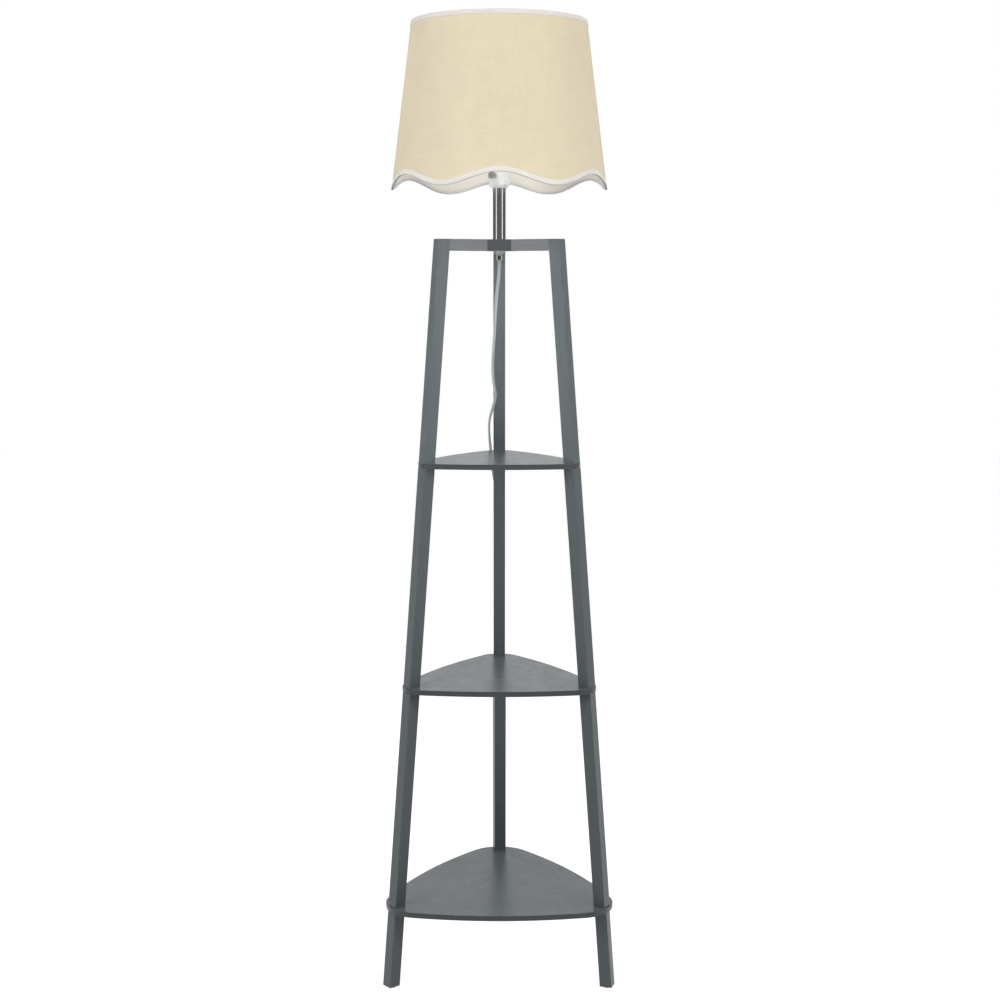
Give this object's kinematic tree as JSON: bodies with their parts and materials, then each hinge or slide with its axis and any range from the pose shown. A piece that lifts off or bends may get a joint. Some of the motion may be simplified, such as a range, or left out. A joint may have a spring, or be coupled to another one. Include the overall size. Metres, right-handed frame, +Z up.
{
  "type": "shelf floor lamp",
  "caption": "Tripod floor lamp with bow-sided shelves between its square legs and a round fabric shade with a waved hem.",
  "frame": {"origin": "on the floor, straight under the stem's axis", "axes": "+Z up along the stem, +Y towards the rear leg; -Y is the front"},
  "size_m": [0.3905, 0.5375, 1.5989],
  "materials": {
    "painted_wood": "satin slate paint",
    "plain_wood": "bare beech",
    "chrome": "polished",
    "steel": "zinc plated",
    "brass": "plain",
    "white_plastic": "gloss",
    "dark_plastic": "matte",
    "insulator": "moulded",
    "shade_cloth": "slub linen weave",
    "shade_backing": "matte",
    "trim_cloth": "fine weave",
    "opal_glass": "opal",
    "silver_cord": "clear skin over silver braid",
    "clear_plastic": "cloudy",
    "pad_felt": "felt"
  },
  "bodies": {
    "lamp": {"arm_dowels": "plain_wood", "arm_left": "painted_wood", "arm_rear": "painted_wood", "arm_right": "painted_wood", "bulb_collar": "white_plastic", "bulb_globe": "opal_glass", "bulb_insulator": "insulator", "bulb_led_board": "insulator", "bulb_screw_cap": "steel", "bulb_tip": "brass", "cap_screw": "steel", "centre_contact": "brass", "clip_screws": "steel", "cord": "silver_cord", "cord_clips": "clear_plastic", "cord_coil": "silver_cord", "cord_grip": "clear_plastic", "cord_inner": "silver_cord", "foot_pads": "pad_felt", "grip_wedge": "dark_plastic", "holder_body": "white_plastic", "holder_cap": "white_plastic", "hub": "painted_wood", "joint_inserts": "brass", "joint_studs": "steel", "leg_left_foot": "painted_wood", "leg_left_lower": "painted_wood", "leg_left_top": "painted_wood", "leg_left_upper": "painted_wood", "leg_rear_foot": "painted_wood", "leg_rear_lower": "painted_wood", "leg_rear_top": "painted_wood", "leg_rear_upper": "painted_wood", "leg_right_foot": "painted_wood", "leg_right_lower": "painted_wood", "leg_right_top": "painted_wood", "leg_right_upper": "painted_wood", "plug_blades": "brass", "plug_body": "clear_plastic", "screw_shell": "brass", "shade_frame": "steel", "shade_lining": "shade_backing", "shade_ring_nut": "chrome", "shade_shell": "shade_cloth", "shade_top_ring": "steel", "shade_trim_low": "trim_cloth", "shade_trim_top": "trim_cloth", "shelf_high": "painted_wood", "shelf_low": "painted_wood", "shelf_middle": "painted_wood", "stem_nut": "chrome", "stem_rod": "steel", "stem_tube": "chrome", "stem_washer": "chrome", "switch_block": "insulator", "terminal_screws": "brass"},
    "knob": {"knob": "chrome", "knob_shaft": "steel", "switch_cam": "dark_plastic"}
  },
  "joints": [
    {"name": "knob_turn", "type": "hinge", "parent": "lamp", "child": "knob", "pos_m": [0, 0, 1.3505], "axis": [-0.4695, -0.8829, 0], "continuous": true}
  ]
}
